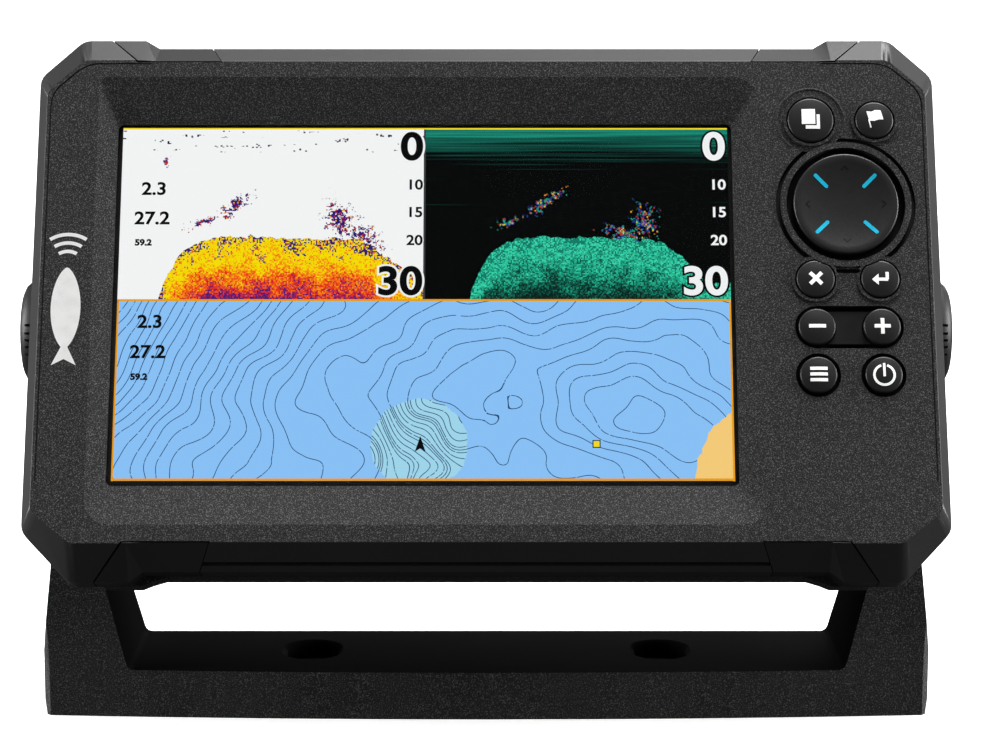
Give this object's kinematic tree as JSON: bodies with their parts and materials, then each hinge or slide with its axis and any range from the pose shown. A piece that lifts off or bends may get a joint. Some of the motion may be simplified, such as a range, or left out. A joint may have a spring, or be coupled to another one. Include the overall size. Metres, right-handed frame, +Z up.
{
  "type": "fish finder",
  "caption": "Marine fish finder display with a wide screen, a side keypad and a cursor pad, tilting in a U bracket between clamp knobs.",
  "frame": {"origin": "middle of the underside of the bracket's base", "axes": "+Z up, -Y the way the screen faces, +X to the right of someone facing the screen"},
  "size_m": [0.24, 0.0938, 0.1723],
  "materials": {
    "housing_black": "fine moulded grain",
    "bracket_black": "fine moulded grain",
    "trim_satin": "satin",
    "key_rubber": "satin",
    "knob_plastic": "matte",
    "seal_rubber": "matte",
    "socket_plastic": "satin",
    "cover_glass": "polished",
    "display_panel": "lit picture",
    "light_guide": "matte",
    "circuit_board": "solder mask",
    "flex_film": "polyimide film",
    "steel": "bright",
    "brass": "turned",
    "sheet_metal": "stamped",
    "antenna_ceramic": "matte"
  },
  "bodies": {
    "bracket": {"mounting_bracket": "bracket_black"},
    "head": {"front_frame": "housing_black", "rear_housing": "housing_black", "top_left_trim": "trim_satin", "top_right_trim": "trim_satin", "bottom_left_trim": "trim_satin", "bottom_right_trim": "trim_satin", "cover_glass": "cover_glass", "display_spacer": "seal_rubber", "lcd_panel": "display_panel", "backlight_unit": "light_guide", "chassis_plate": "sheet_metal", "main_board": "circuit_board", "processor_shield": "sheet_metal", "gps_antenna": "antenna_ceramic", "buzzer": "socket_plastic", "keypad_flex": "flex_film", "display_flex": "flex_film", "zoom_bridge": "trim_satin", "keypad_mat": "seal_rubber", "keypad_board": "circuit_board", "case_gasket": "seal_rubber", "power_socket": "socket_plastic", "sonar_socket": "socket_plastic", "power_socket_nut": "socket_plastic", "sonar_socket_nut": "socket_plastic", "card_door_pin": "steel", "card_reader": "sheet_metal", "vent_plug": "seal_rubber", "board_screw_1": "steel", "board_screw_2": "steel", "board_screw_3": "steel", "board_screw_4": "steel", "case_screw_1": "steel", "case_screw_2": "steel", "case_screw_3": "steel", "case_screw_4": "steel", "case_screw_5": "steel", "case_screw_6": "steel", "left_pivot_washer": "seal_rubber", "left_pivot_insert": "brass", "right_pivot_washer": "seal_rubber", "right_pivot_insert": "brass"},
    "left_knob": {"left_clamp_knob": "knob_plastic", "left_knob_stud": "steel"},
    "right_knob": {"right_clamp_knob": "knob_plastic", "right_knob_stud": "steel"},
    "pad_carrier": {"cursor_pad_carrier": "light_guide"},
    "pad": {"cursor_pad": "key_rubber"},
    "door": {"card_door": "seal_rubber"},
    "pages": {"pages_key": "key_rubber"},
    "waypoint": {"waypoint_key": "key_rubber"},
    "exit": {"exit_key": "key_rubber"},
    "enter": {"enter_key": "key_rubber"},
    "zoom_out": {"zoom_out_key": "key_rubber"},
    "zoom_in": {"zoom_in_key": "key_rubber"},
    "menu": {"menu_key": "key_rubber"},
    "power": {"power_key": "key_rubber"}
  },
  "joints": [
    {"name": "head_tilt", "type": "hinge", "parent": "bracket", "child": "head", "pos_m": [0, 0, 0.0972], "axis": [-1, 0, 0], "range_deg": [-22, 45]},
    {"name": "left_knob_turn", "type": "hinge", "parent": "head", "child": "left_knob", "pos_m": [-0.1064, 0, 0.0972], "axis": [-1, 0, 0], "continuous": true},
    {"name": "right_knob_turn", "type": "hinge", "parent": "head", "child": "right_knob", "pos_m": [0.1064, 0, 0.0972], "axis": [1, 0, 0], "continuous": true},
    {"name": "pages_press", "type": "slide", "parent": "head", "child": "pages", "axis": [0, 0.9135, -0.4067], "range_m": [0, 0.0008], "stiffness_N_per_m": 1500, "springref_m": -0.0002},
    {"name": "waypoint_press", "type": "slide", "parent": "head", "child": "waypoint", "axis": [0, 0.9135, -0.4067], "range_m": [0, 0.0008], "stiffness_N_per_m": 1500, "springref_m": -0.0002},
    {"name": "exit_press", "type": "slide", "parent": "head", "child": "exit", "axis": [0, 0.9135, -0.4067], "range_m": [0, 0.0008], "stiffness_N_per_m": 1500, "springref_m": -0.0002},
    {"name": "enter_press", "type": "slide", "parent": "head", "child": "enter", "axis": [0, 0.9135, -0.4067], "range_m": [0, 0.0008], "stiffness_N_per_m": 1500, "springref_m": -0.0002},
    {"name": "zoom_out_press", "type": "slide", "parent": "head", "child": "zoom_out", "axis": [0, 0.9135, -0.4067], "range_m": [0, 0.0008], "stiffness_N_per_m": 1500, "springref_m": -0.0002},
    {"name": "zoom_in_press", "type": "slide", "parent": "head", "child": "zoom_in", "axis": [0, 0.9135, -0.4067], "range_m": [0, 0.0008], "stiffness_N_per_m": 1500, "springref_m": -0.0002},
    {"name": "menu_press", "type": "slide", "parent": "head", "child": "menu", "axis": [0, 0.9135, -0.4067], "range_m": [0, 0.0008], "stiffness_N_per_m": 1500, "springref_m": -0.0002},
    {"name": "power_press", "type": "slide", "parent": "head", "child": "power", "axis": [0, 0.9135, -0.4067], "range_m": [0, 0.0008], "stiffness_N_per_m": 1500, "springref_m": -0.0002},
    {"name": "pad_rock_updown", "type": "hinge", "parent": "head", "child": "pad_carrier", "pos_m": [0.0901, -0.01534, 0.13085], "axis": [1, 0, 0], "range_deg": [-2, 2], "stiffness_Nm_per_rad": 0.35},
    {"name": "pad_rock_sideways", "type": "hinge", "parent": "pad_carrier", "child": "pad", "pos_m": [0.0901, -0.01534, 0.13085], "axis": [0, 0.4067, 0.9135], "range_deg": [-2, 2], "stiffness_Nm_per_rad": 0.35},
    {"name": "card_door_open", "type": "hinge", "parent": "head", "child": "door", "pos_m": [0.058, 0.01654, 0.08469], "axis": [-1, 0, 0], "range_deg": [0, 90]}
  ]
}
